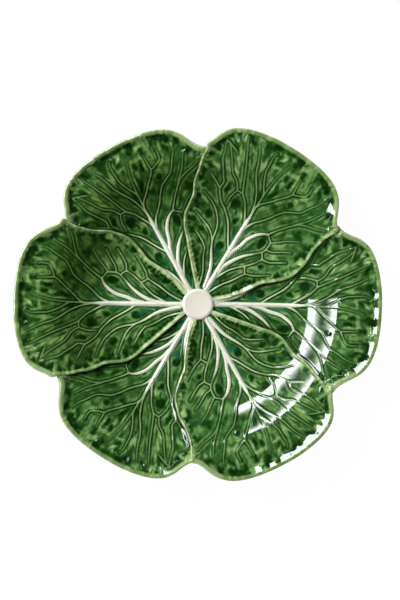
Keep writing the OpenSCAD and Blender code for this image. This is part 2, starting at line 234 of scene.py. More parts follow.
# Pale swells in the same form
swells = [
    (115.4, -11, 4.6, 1.3, 90), (105, -7.8, 2.4, 1.2, 0), (108, -14.9, 3, 0.8, 0), (100, -3.6, 3.6, 0.8, 0),
    (112, -22.6, 4, 1.6, -8), (116.5, -31.2, 4.4, 1.1, -8), (101.3, -22, 2, 0.7, 72),
    (124.2, -18.6, 2.4, 0.8, -35), (126, -6.6, 2.4, 1.8, 0), (114.2, 1.6, 3.2, 0.9, -60),
    (121.4, 0.2, 3, 0.8, -52), (110, 10.8, 5, 1.2, 4), (104, 27.6, 4.6, 1.2, 36), (112, 30.6, 3, 1, 25),
    (117.4, 36.6, 3, 0.8, 66), (121.8, 31.6, 2.4, 0.9, 15), (70.6, 6.6, 3.2, 0.9, 24),
    (52.6, -44.4, 1.9, 1.8, 0), (63.8, -48.6, 1.8, 1.3, 0), (84.6, -51.2, 3, 1.2, -12), (76, -50.4, 3, 1, 0),
    (88.4, -53, 2.6, 1.1, -60), (44, -22.5, 4.5, 1.1, -62), (57.5, -29.5, 4, 1.5, -65),
    (66.5, -27.5, 4.5, 1, -60), (68, 35, 3, 1.2, 60), (53, 25, 1, 2, 0), (33, 3.9, 3.2, 0.8, 5),
    (41, -13, 3, 1.2, -45), (57, -9.8, 5, 1, -22), (64, -5.6, 4, 0.8, -28), (97, 25, 3, 1, 50),
    (94, 40.6, 2.6, 1.1, 70), (83, 47, 2, 0.9, 40), (105, -27, 2, 3, 0), (92, -8, 3, 0.8, -45)
]

# Blue-green glaze in the forks of the ribs
crotches = [
    (40.5, -4.2, 5, 1.5, -12), (55, -3.4, 6, 1.4, -10), (29, -3.2, 3.5, 0.9, -14), (24, 2.6, 5, 1, 8),
    (40, 6, 4, 1.2, 25), (50, -13, 3, 1, -45), (16, -4.5, 3, 0.8, -25), (71, -4, 4, 1, -35)
]
# Where the lips of the sides shine
evenPlaces = [(26.5, -21.5, 9, 4.5, -31), (49, 38, 5, 4, 30)]
# Folds that cross the flank of the rim, on each leaf where they show
rimBreaks = {
    "lowerLeafOne": [(128.5, 3.6, 5, 2.6, 0), (127.5, -11, 5, 2.1, -5), (126, -22, 5, 1.9, -10),
        (121, -35.5, 2.2, 1.2, -30), (111.5, -48.5, 4.5, 2.2, -62)],
    "upperLeafThree": [(127.5, -4.7, 5, 1.4, 0), (127, -15, 5, 2.6, -8)],
}
# Leaves whose rim is not as steep as the others
rimSlopes = {"upperLeafOne": 0.36, "upperLeafThree": 0.41}
# Small domes that catch the light: x, y, radius and height
blisters = [
    (103, 2, 1.5, 0.3), (94.5, -19.7, 1.3, 0.25), (110.4, -8.9, 0.9, 0.15), (104.5, 38, 1.2, 0.2),
    (62, -49, 1.3, 0.4), (97.5, -54.5, 1.2, 0.4)
]

# How the veins and the marks beside them are drawn, in mm
veins = {
    "step": 1.2,  # spacing of the points along a vein
    "ribFrom": (1.15, 1.0),  # width at which a vein becomes a rib
    "thinShare": 0.78,  # the fine veins are drawn this much narrower
    "rise": 0.25,  # height of a rib as a share of its width
    "fineRise": 0.15,  # height of a fine vein
    "foot": 0.78,  # half width of its foot as a share of its width
    "narrowFoot": 0.75,
    "farSpan": 16.0,  # span beyond which nothing is drawn
    "lineHalf": 0.45,  # half width of a fine vein's pale line
    "lineFrom": 0.9,  # width from which the line widens too
    "unevenLength": 4.5,
    "tip": (0.75, 0.25),  # share of the length at which a fine vein fades
    "tipLoss": 0.6,
    "fading": 0.42,  # what the fine veins lose in paleness towards the rim
    "fadeAt": (50, 55),
    "palest": (0.7, 0.4),  # paleness of a fine vein, and what its unevenness adds
    "paleByWidth": (0.5, 0.45), "paleTo": (1.2, 1.5),
    "creamTo": (-0.4, 0.7),  # from the border of a rib
    "tealFrom": (1.5, 1.2),  # width of the ribs that have blue-green glaze beside them
    "teal": (0.8, 1.4), "tealShare": 0.75, "sideLength": 5, "groove": (0.55, 0.75),
    "grooveByWidth": (0.6, 0.25), "grooveBySide": (0.5, 0.8),
    "stitch": 1.3,  # pitch of the fine teeth beside the veins
    "stitchBend": 3, "stitches": (1.2, 0.6), "stitchedSide": (0.4, 0.3),
    "fibres": [(0.6, 7, 0.95), (0.4, 4, 0.5)],  # share, length and width of the streaks
    "fibreShift": 3.7,
    "comb": 1.8,  # pitch of the pale teeth beside the ribs
    "combLean": 2.5, "combBend": 2, "combFrom": (1.3, 0.6), "combs": (0.4, 1.0), "combedSide": (0.4, 0.2),
    "combedTo": (60, 30),
}
# The marks between the veins and along the border, in mm
marks = {
    "warp": 1.1,  # how far the marks are drawn out of true
    "warpSize": 3.1,
    "reach": 2.4,  # of a mark, in its own half lengths
    "halo": (1.6, 0.35),
    "softness": {"pits": 0.75, "crotches": 0.9, "ruffles": 0.85, "swells": 0.8, "evenPlaces": 0.25},
    "rimWithin": (0.5, 7), "rimRadius": (100, 12),
    "heart": (45, 12),  # radius at which the leaf's heart ends
    "pleatPitch": 3.3, "pleatWarp": 0.6, "pleatDepth": 9, "pleatLean": 0.15, "pleatContrast": 1.3,
    "pleat": (0.15, 0.7),
    "pleatLength": (3.5, 7),  # least, and what chance adds
    "pleatShare": 0.45,
    "bandFrom": (1.5, 1.1, 0.5),  # from the border, more on the rim, more at the heart
    "bandEnds": (1.2, 2.5), "beadPitch": 3.6, "beadWarp": 0.5, "beadPower": 1.5,
    "beadShare": 0.5,  # away from the heart
    "beads": (3.3, 1.1), "beadGaps": (2.2, 1.1),
    "beadGrowth": (0.5, 0.3),  # at the heart
    "scallopPitch": 1.9, "scallop": (0.2, 0.6),
    "lipWidth": (1.7, 0.6, 0.6, 0.5),  # plain, more in a scallop, on the rim and at the heart
    "lipSoftness": 1.2,
    "lip": (0.66, 0.2),  # paleness, and the share that goes with the scallops
    "crest": (0.34, 0.9), "crestAt": (1.0, 0.45), "crestOnRim": 0.9, "lipAtHeart": 0.3,
    "betweenVeins": (1.2, 2.6), "clearOfVeins": (0.4, 1.1), "blotch": (5.5, 4.5), "blotchWarp": 0.2,
    "flankLight": (2.3, 0.8), "flankLightSize": 4, "flankLightLeast": 0.25, "foldFrom": (1.8, 1.5),
    "foldByVein": 0.4, "streakByVein": 0.55, "rim": (98, 14), "middle": (26, 24),
}
# What each of them adds to the tone of the glaze, from 0 in the deep to 1 where it is thin
toneOf = {"between": 0.03, "groove": -0.2, "stitches": 0.26, "streaks": 0.26, "blotch": 0.5, "flankLight": 0.5,
          "hollow": -0.32, "halo": 0.1, "fold": -0.26, "swell": 0.34, "pleat": -0.46, "margin": 0.28,
          "spots": -0.4, "gaps": 0.24, "rim": 0.04, "middle": -0.11}
toneRange = {"plain": 0.43, "centre": 0.45, "contrast": 1.33,
             "high": (0.68, 0.45), "low": (0.16, 0.4), "comb": 1.35}
underRelief = {"share": 0.55, "from": (80, 12), "sideFade": 8, "rimFade": 14}  # what the underside keeps of it
mapGrid = {"cell": 0.25, "length": 138.0, "reach": 68.0, "lineReach": 14}
noise = {"seed": 11, "size": 64, "stride": 7, "second": 0.5, "secondShift": 5}
shifts = {"uneven": 3, "side": 4, "fibre": 6, "pleat": 8, "scallop": 9, "length": 12, "blotch": 13, "flank": 21}
farAway = 30.0


def smoothCurve(points, spacing=0.8):
    # Catmull-Rom curve through the points
    p = np.array(points, float)
    p = np.vstack([2 * p[0] - p[1], p, 2 * p[-1] - p[-2]])
    parts = []
    for a, b, c, d in zip(p, p[1:], p[2:], p[3:]):
        count = max(2, int(np.linalg.norm(c - b) / spacing) + 1)
        t = np.linspace(0, 1, count, endpoint=False)[:, None]
        parts.append(0.5 * (2 * b + (c - a) * t + (2 * a - 5 * b + 4 * c - d) * t ** 2
                            + (3 * b - a - 3 * c + d) * t ** 3))
    return np.vstack(parts + [p[-2:-1]])


columns = np.arange(0, mapGrid["length"], mapGrid["cell"])
rows = np.arange(-mapGrid["reach"], mapGrid["reach"], mapGrid["cell"])
mapX, mapY = np.meshgrid(columns, rows)


def window(x0, x1, y0, y1):
    cell = mapGrid["cell"]
    return (slice(max(0, int((y0 + mapGrid["reach"]) / cell)), int((y1 + mapGrid["reach"]) / cell) + 2),
            slice(max(0, int(x0 / cell)), int(x1 / cell) + 2))


def spreadCurve(curve):
    # Distance to the curve, and how far along it the nearest place lies, for the map near it
    reach = mapGrid["lineReach"]
    near = np.full(mapX.shape, float(reach))
    along = np.zeros(mapX.shape)
    start = 0.0
    for a, b in zip(curve, curve[1:]):
        w = window(min(a[0], b[0]) - reach, max(a[0], b[0]) + reach,
                   min(a[1], b[1]) - reach, max(a[1], b[1]) + reach)
        step = b - a
        size = np.linalg.norm(step)
        x, y = mapX[w] - a[0], mapY[w] - a[1]
        t = np.clip((x * step[0] + y * step[1]) / size ** 2, 0, 1)
        gap = np.hypot(x - t * step[0], y - t * step[1])
        closer = gap < near[w]
        near[w] = np.where(closer, gap, near[w])
        along[w] = np.where(closer, start + t * size, along[w])
        start += size
    return near, along


cloudTable = np.random.default_rng(noise["seed"]).random((noise["size"], noise["size"]))


def cloudAt(u, v, shift):
    # Smooth noise from 0 to 1, one cell wide in u and v
    i, j = np.floor(u).astype(int), np.floor(v).astype(int)
    f, g = ease(u - i), ease(v - j)

    def corner(a, b):
        return cloudTable[(j + b + shift) % noise["size"], (i + a + noise["stride"] * shift) % noise["size"]]

    return ((corner(0, 0) * (1 - f) + corner(1, 0) * f) * (1 - g)
            + (corner(0, 1) * (1 - f) + corner(1, 1) * f) * g)


def cloudLine(u, shift):
    return cloudAt(u, np.zeros(u.shape), shift)


def layered(u, v, shift):
    second = noise["second"]
    return (cloudAt(u, v, shift) + second * cloudAt(u * 2, v * 2, shift + noise["secondShift"])) / (1 + second)


warpX, warpY = (marks["warp"] * 2 * (layered(mapX / marks["warpSize"], mapY / marks["warpSize"], k) - 0.5)
                for k in (1, 2))


def spreadMarks(places, softness, border=None):
    # 1 in the middle of each mark, falling to 0 a little outside it, or a band along its border
    layer = np.zeros(mapX.shape)
    for x, y, half, narrow, turn in places:
        reach = max(half, narrow) * marks["reach"] + marks["warp"]
        w = window(x - reach, x + reach, y - reach, y + reach)
        c, s = math.cos(math.radians(turn)), math.sin(math.radians(turn))
        u, v = mapX[w] + warpX[w] - x, mapY[w] + warpY[w] - y
        far = np.hypot((u * c + v * s) / half, (v * c - u * s) / narrow)
        shade = bell(far, *border) if border else 1 - ease((far - 1 + softness) / (2 * softness))
        layer[w] = np.maximum(layer[w], shade)
    return layer


def drawVeins():
    # Layers of the map for the veins and the marks that follow them
    height, pale, cream, teal, groove, stitches, streaks, combs = np.zeros((8, *mapX.shape))
    span = np.full(mapX.shape, veins["farSpan"])
    nearVein = np.full(mapX.shape, np.inf)
    fading = 1 - veins["fading"] * climb(np.hypot(mapX, mapY), *veins["fadeAt"])
    for order, (path, widths) in enumerate(veinPaths.values()):
        curve = smoothCurve(path, veins["step"])
        near, along = spreadCurve(curve)
        share = along / np.linalg.norm(np.diff(curve, axis=0), axis=1).sum()
        width = np.interp(share, np.linspace(0, 1, len(widths)), widths)
        thick = climb(width, *veins["ribFrom"])
        width = width * (veins["thinShare"] + (1 - veins["thinShare"]) * thick)
        rise = veins["fineRise"] + (veins["rise"] * width - veins["fineRise"]) * thick
        height = np.maximum(height, rise * hump(near / np.maximum(veins["narrowFoot"], veins["foot"] * width)))
        half = veins["lineHalf"] + 0.5 * np.maximum(width - veins["lineFrom"], 0)
        span = np.minimum(span, (near / half) ** 2)

        def byWidth(least, more):
            return np.clip(least + more * width, 0, 1)

        uneven = cloudAt(along / veins["unevenLength"], np.full(along.shape, order + 0.5), shifts["uneven"])
        tip = 1 - climb(share, *veins["tip"]) * (1 - thick) * veins["tipLoss"]
        least, more = veins["palest"]
        strength = (least + more * uneven) * fading * (1 - thick) + thick
        strength *= byWidth(*veins["paleByWidth"]) * tip * (1 - climb(near, *veins["paleTo"]))
        pale = np.maximum(pale, strength)
        beside = near - 0.5 * width
        cream = np.maximum(cream, thick * (1 - climb(beside, *veins["creamTo"])))
        teal = np.maximum(teal, climb(width, *veins["tealFrom"]) * bell(beside, *veins["teal"]))
        # The two sides of a vein are marked differently
        below = np.sign(mapY - np.interp(mapX, curve[:, 0], curve[:, 1]))
        side = cloudAt(along / veins["sideLength"], below + order * 3.0, shifts["side"])
        least, more = veins["grooveBySide"]
        cut = bell(beside, *veins["groove"]) * byWidth(*veins["grooveByWidth"]) * tip
        groove = np.maximum(groove, cut * (least + more * side))
        closer = near < nearVein
        teeth = np.sin(2 * math.pi * along / veins["stitch"] + veins["stitchBend"] * uneven)
        teeth = bell(beside, *veins["stitches"]) * teeth * tip * climb(side, *veins["stitchedSide"])
        stitches = np.where(closer, teeth, stitches)
        (first, long, wide), (second, shorter, narrower) = veins["fibres"]
        fibres = (first * cloudAt(along / long + order * veins["fibreShift"], near / wide, shifts["fibre"])
                  + second * cloudAt(along / shorter, near / narrower, order))
        streaks = np.where(closer, fibres - 0.5, streaks)
        lean = veins["combLean"] * near + veins["combBend"] * uneven
        comb = ease(np.sin(2 * math.pi * along / veins["comb"] + lean)) * climb(side, *veins["combedSide"])
        comb *= bell(beside, *veins["combs"])
        combs = np.maximum(combs, climb(width, *veins["combFrom"]) * comb)
        nearVein = np.minimum(nearVein, near)
    return height, pale, cream, teal, groove, stitches, streaks, combs, span, nearVein


def makeLeafMap():
    right, rim, left = (smoothCurve(leafShape[key]) for key in ("rightSide", "rim", "leftSide"))
    height, pale, cream, teal, groove, stitches, streaks, combs, span, nearVein = drawVeins()
    softness = marks["softness"]
    teal = np.maximum(veins["tealShare"] * teal, spreadMarks(crotches, softness["crotches"]))
    toEdge, alongEdge = spreadCurve(np.vstack([right, rim[1:], left[::-1][1:]]))
    toRim, _ = spreadCurve(rim)
    far = np.hypot(mapX, mapY)
    onRim = 1 - climb(toRim - toEdge, *marks["rimWithin"])
    onRim = onRim * climb(far, *marks["rimRadius"])
    atHeart = 1 - climb(far, *marks["heart"])

    # Pleats across the margin
    u = (alongEdge + marks["pleatWarp"] * warpX) / marks["pleatPitch"]
    ruffle = cloudAt(u, (toEdge + alongEdge * marks["pleatLean"]) / marks["pleatDepth"], shifts["pleat"]) - 0.5
    ruffle = np.clip(ruffle * marks["pleatContrast"] + 0.5, 0, 1)
    least, more = marks["pleatLength"]
    share = marks["pleatShare"]
    length = ((1 - share * atHeart) * least
              + more * cloudLine(alongEdge / marks["pleatPitch"], shifts["length"])
              * (share + (1 - share) * onRim))
    start, rimMore, heartMore = marks["bandFrom"]
    outer, inner = marks["bandEnds"]
    margin = ease((toEdge - start - rimMore * onRim - heartMore * atHeart) / outer)
    margin = margin * (1 - climb(toEdge, length, inner)) * (1 - atHeart)

    # A row of soft dark spots beside the lip of a side, paler between them
    beaded = np.maximum(atHeart, marks["beadShare"] * (1 - onRim))
    beads = 0.5 - 0.5 * np.cos(2 * math.pi * (alongEdge + marks["beadWarp"] * warpX) / marks["beadPitch"])
    (middle, width), (out, wider) = marks["beads"], marks["beadGrowth"]
    spots = beaded * beads ** marks["beadPower"] * bell(toEdge, middle + out * atHeart, width + wider * atHeart)
    middle, width = marks["beadGaps"]
    gaps = beaded * (1 - beads) * bell(toEdge, middle + out * atHeart, width)

    # The pale lip with its scalloped inner border
    scallop = climb(cloudLine(alongEdge / marks["scallopPitch"], shifts["scallop"]), *marks["scallop"])
    plain, scalloped, rimMore, heartMore = marks["lipWidth"]
    lipWidth = plain + scalloped * scallop + rimMore * onRim + heartMore * atHeart
    crest = bell(toEdge + marks["crestOnRim"] * onRim, *marks["crestAt"])
    paleness, varied = marks["lip"]
    lip = paleness * (1 - climb(toEdge, lipWidth, marks["lipSoftness"])) * (1 - varied + varied * scallop)
    paleness, varied = marks["crest"]
    lip += paleness * crest * (1 - varied + varied * scallop)
    lip *= 1 + marks["lipAtHeart"] * atHeart

    between = climb(nearVein, *marks["betweenVeins"])
    clear = climb(nearVein, *marks["clearOfVeins"])
    long, wide = marks["blotch"]
    blotch = layered(mapX / long + marks["blotchWarp"] * warpX, mapY / wide, shifts["blotch"]) - 0.5
    size = marks["flankLightSize"]
    flankLight = layered(mapX / size, mapY / size, shifts["flank"]) - marks["flankLightLeast"]
    flankLight = bell(nearVein, *marks["flankLight"]) * flankLight
    byVein = marks["foldByVein"]
    fold = spreadMarks(ruffles, softness["ruffles"]) * (1 - byVein + byVein * clear)
    fold = fold * climb(toEdge, *marks["foldFrom"])
    byVein = marks["streakByVein"]
    streaks = streaks * (1 - byVein + byVein * between)
    layers = {"between": between, "groove": groove, "stitches": stitches, "streaks": streaks,
              "blotch": blotch * between, "flankLight": flankLight,
              "hollow": spreadMarks(pits, softness["pits"]),
              "halo": spreadMarks(pits, softness["pits"], marks["halo"]) * clear, "fold": fold,
              "swell": spreadMarks(swells, softness["swells"]), "margin": margin,
              "pleat": margin * (1 - climb(ruffle, *marks["pleat"])), "spots": spots, "gaps": gaps,
              "rim": climb(far, *marks["rim"]), "middle": 1 - climb(far, *marks["middle"])}
    tone = toneRange["plain"] + sum(toneOf[key] * layer for key, layer in layers.items())
    tone = toneRange["centre"] + toneRange["contrast"] * (tone - toneRange["centre"])
    (high, highShare), (low, lowShare) = toneRange["high"], toneRange["low"]
    tone -= highShare * np.maximum(tone - high, 0) - lowShare * np.maximum(low - tone, 0)
    tone += toneRange["comb"] * combs * (1 - climb(far, *veins["combedTo"]))

    flank = plate["rimFlank"] + plate["rimWander"] * (ruffle - 0.5) * (1 - climb(toEdge, *plate["wanderTo"]))
    shining = spreadMarks(evenPlaces, softness["evenPlaces"])
    sideSlope = plate["steepSide"] + (plate["evenSide"] - plate["steepSide"]) * shining
    for x, y, half, rise in blisters:
        height += rise * np.exp(-((mapX - x) ** 2 + (mapY - y) ** 2) / half ** 2)
    return {"height": height, "tone": tone, "pale": pale, "span": span, "cream": cream, "teal": teal,
            "edge": toEdge, "lip": lip, "onRim": onRim, "flank": flank, "sideSlope": sideSlope}


def readMap(layer, x, y):
    # Bilinear reading of the map, up to just inside its last cells
    height, width = np.array(layer.shape) - 1.001
    u = np.clip(x / mapGrid["cell"], 0, width)
    v = np.clip((y + mapGrid["reach"]) / mapGrid["cell"], 0, height)
    i, j = u.astype(int), v.astype(int)
    f, g = u - i, v - j
    return ((layer[j, i] * (1 - f) + layer[j, i + 1] * f) * (1 - g)
            + (layer[j + 1, i] * (1 - f) + layer[j + 1, i + 1] * f) * g)


def turned(curve, degrees):
    a = math.radians(degrees)
    c, s = math.cos(a), math.sin(a)
    return curve @ np.array([[c, s], [-s, c]])


def movedOut(curve, distance):
    # Curve moved to its right by a distance
    step = np.gradient(curve, axis=0)
    step /= np.linalg.norm(step, axis=1)[:, None]
    return curve + distance * np.stack([step[:, 1], -step[:, 0]], -1)


def drawnTo(curve, corner):
    # Bends the end of a curve so that it lies in the corner
    share = ease(1 - np.linalg.norm(curve - curve[-1], axis=1) / leafShape["cornerReach"])[:, None]
    return curve + (corner - curve[-1]) * share


def leafEdges(isUpper, rimInset, sideInset):
    # Right side, rim and left side of a leaf, moved in from its true edge by the insets
    right, left = smoothCurve(leafShape["rightSide"]), smoothCurve(leafShape["leftSide"])
    rim = smoothCurve(leafShape["rim"])
    if not isUpper:
        # Its sides follow its neighbours' seams
        between, seamEnd, every = (leafShape[key] for key in ("between", "seamEnd", "keepEvery"))
        ownFrom, ownWithin = leafShape["ownRim"]
        inner = [p for p in leafShape["rim"] if ownFrom <= p[0] or abs(p[1]) < ownWithin]
        rim = smoothCurve(leafShape["lowerRimRight"] + inner + leafShape["lowerRimLeft"])
        sides = (turned(left, -between), rim[0]), (turned(right, between), rim[-1])
        sides = [(np.vstack([side[np.hypot(*side.T) < seamEnd], [end]]), end) for side, end in sides]
        right, left = (smoothCurve(side[::every].tolist() + [end]) for side, end in sides)
    right, rim, left = movedOut(right, -sideInset), movedOut(rim, -rimInset), movedOut(left, sideInset)
    rightCorner, leftCorner = (right[-1] + rim[0]) / 2, (left[-1] + rim[-1]) / 2
    rim = drawnTo(drawnTo(rim[::-1], rightCorner)[::-1], leftCorner)
    return drawnTo(right, rightCorner), rim, drawnTo(left, leftCorner)


def sample(curve, shares, at):
    return np.stack([np.interp(at, shares, curve[:, k]) for k in (0, 1)], -1)


def patch(edges, s, v):
    # Place in plan: s runs from 0 at the stalk to 1 at the rim, v from 0 on the right to 1 on the left
    right, rim, left = edges
    rightFar, leftFar = np.hypot(*right.T), np.hypot(*left.T)
    rightShares = np.maximum.accumulate((rightFar - rightFar[0]) / (rightFar[-1] - rightFar[0]))
    leftShares = np.maximum.accumulate((leftFar - leftFar[0]) / (leftFar[-1] - leftFar[0]))
    steps = np.linalg.norm(np.diff(rim, axis=0), axis=1)
    rimShares = np.append(0, np.cumsum(steps)) / steps.sum()
    a0, a1 = math.atan2(right[0, 1], right[0, 0]), math.atan2(left[0, 1], left[0, 0])
    angle = a0 + (a1 - a0) * v
    radius = rightFar[0] + (leftFar[0] - rightFar[0]) * v
    root = np.stack([radius * np.cos(angle), radius * np.sin(angle)], -1)
    s2, v2 = s[:, None], v[:, None]
    corners = ((1 - s2) * ((1 - v2) * right[0] + v2 * left[0]) + s2 * ((1 - v2) * rim[0] + v2 * rim[-1]))
    return ((1 - v2) * sample(right, rightShares, s) + v2 * sample(left, leftShares, s)
            + (1 - s2) * root + s2 * sample(rim, rimShares, v) - corners)


leafNet = {
    "steps": 264,
    "underSteps": 132,
    "rings": 6,
    "ringDrop": 0.02,  # keeps the rings apart until they are placed
    "crowdRim": 0.35,  # how much closer the faces lie at the rim
    "crowdSides": 0.4,
    "tiny": 0.002,
    "onBorder": 1e-4,
}
bead = {
    "out": [0.3, 0.64, 0.95, 1.1],  # how far each ring of the lip stands out from its crest
    "rimDown": [0.081, 0.173, 0.257, 0.8],
    "sideDown": [0.104, 0.222, 0.33, 0.85],
    "rimFrom": (0.93, 0.07),  # share of the leaf's length
    "neck": (0.5, 2.5),  # under the lip of a side
    "paleness": [1.0, 0.95, 0.85, 0.66, 0.45, 0.2, 0.05],
    "palenessByLip": (0.25, 0.85, 0.6),  # least, more with the lip, and never below
    "rimUnder": (0.92, 1.0),  # out from the crest, and up from the underside
    "foot": (0.25, 0.3),
}
# Where a lower leaf meets its neighbours, in mm from the lip or as shares of the leaf's length or width
seam = {
    "rimFrom": (0.9, 0.08),  # from here its own rim is free
    "lipFrom": (0.9, 0.06),
    "paleLipFrom": (0.88, 0.08),
    "veinsFrom": (0.5, 3),
    "shaded": (0.4, 0.2),  # across the leaf, where the neighbour's right lip is the nearer one
    "heart": (30, 30),
    "swell": (0.45, 0.35, 0.4),  # height beside the lip, more on the shaded side, more there near the heart
    "swellReach": (1.6, 1.0, 0.8),
    "tone": (0.28, 0.14),  # painted shade with pooled glaze beside the lip: how much darker, and less on the shaded side, where the lamp's own shadow falls
    "paintedShadeTo": (0.6, 2.0),
    "paleFrom": (0.5, 2.5),
    "tuckedTo": (0.97, 0.03),
    "tuckedIn": 0.9,
    "firstRing": 0.6,
}


def makeNet(steps, underSteps, rings):
    # A square of even faces, rings round its border, and a coarser square underneath
    bm = bmesh.new()
    ring = bm.verts.layers.int.new("ring")
    bmesh.ops.create_grid(bm, x_segments=steps, y_segments=steps, size=1.0)
    border = [e for e in bm.edges if e.is_boundary]
    for k in range(1, rings + 1):
        made = bmesh.ops.extrude_edge_only(bm, edges=border)["geom"]
        for v in made:
            if isinstance(v, bmesh.types.BMVert):
                v[ring] = k
                v.co.z = -leafNet["ringDrop"] * k
        border = [e for e in made if isinstance(e, bmesh.types.BMEdge) and all(v[ring] == k for v in e.verts)]
    under = bmesh.ops.create_grid(bm, x_segments=underSteps, y_segments=underSteps, size=1.0)["verts"]
    for v in under:
        v[ring] = rings + 1
        v.co.z = -leafNet["ringDrop"] * (rings + 1)
    lower = [e for e in bm.edges if e.is_boundary and all(v[ring] == rings + 1 for v in e.verts)]
    bmesh.ops.bridge_loops(bm, edges=border + lower)
    bmesh.ops.recalc_face_normals(bm, faces=bm.faces)
    mesh = bpy.data.meshes.new("leafNet")
    bm.to_mesh(mesh)
    bm.free()
    return mesh


def rimFlank(toEdge, wide, slope):
    # Rise from the gutter to the rim: an even slope, softened at both ends
    soft = plate["rimSoftness"]
    t = np.maximum(toEdge - plate["lipHalf"], 0)

    def softStep(x):
        return np.where(x < -soft, 0, np.where(x > soft, x, (x + soft) ** 2 / (4 * soft)))

    return slope * (wide - soft - softStep(t - soft) + softStep(t - wide))


def borderNormals(edges, s, v):
    # Outward direction in plan at places on the border
    tiny, onBorder = leafNet["tiny"], leafNet["onBorder"]
    side, onRim = np.minimum(v, 1 - v) < onBorder, s > 1 - onBorder
    along = patch(edges, np.clip(s + tiny, 0, 1), v) - patch(edges, np.clip(s - tiny, 0, 1), v)
    along = along * np.where(v < 0.5, 1, -1)[:, None]
    across = patch(edges, s, np.clip(v + tiny, 0, 1)) - patch(edges, s, np.clip(v - tiny, 0, 1))

    def unit(d):
        return d / np.maximum(np.linalg.norm(d, axis=1), 1e-9)[:, None]

    direction = unit(unit(along) * side[:, None] + unit(across) * onRim[:, None])
    return np.stack([direction[:, 1], -direction[:, 0]], -1)


def placed(name, data):
    thing = bpy.data.objects.new(name, data)
    bpy.context.scene.collection.objects.link(thing)
    return thing


def smooth(mesh):
    mesh.polygons.foreach_set("use_smooth", np.ones(len(mesh.polygons), bool))


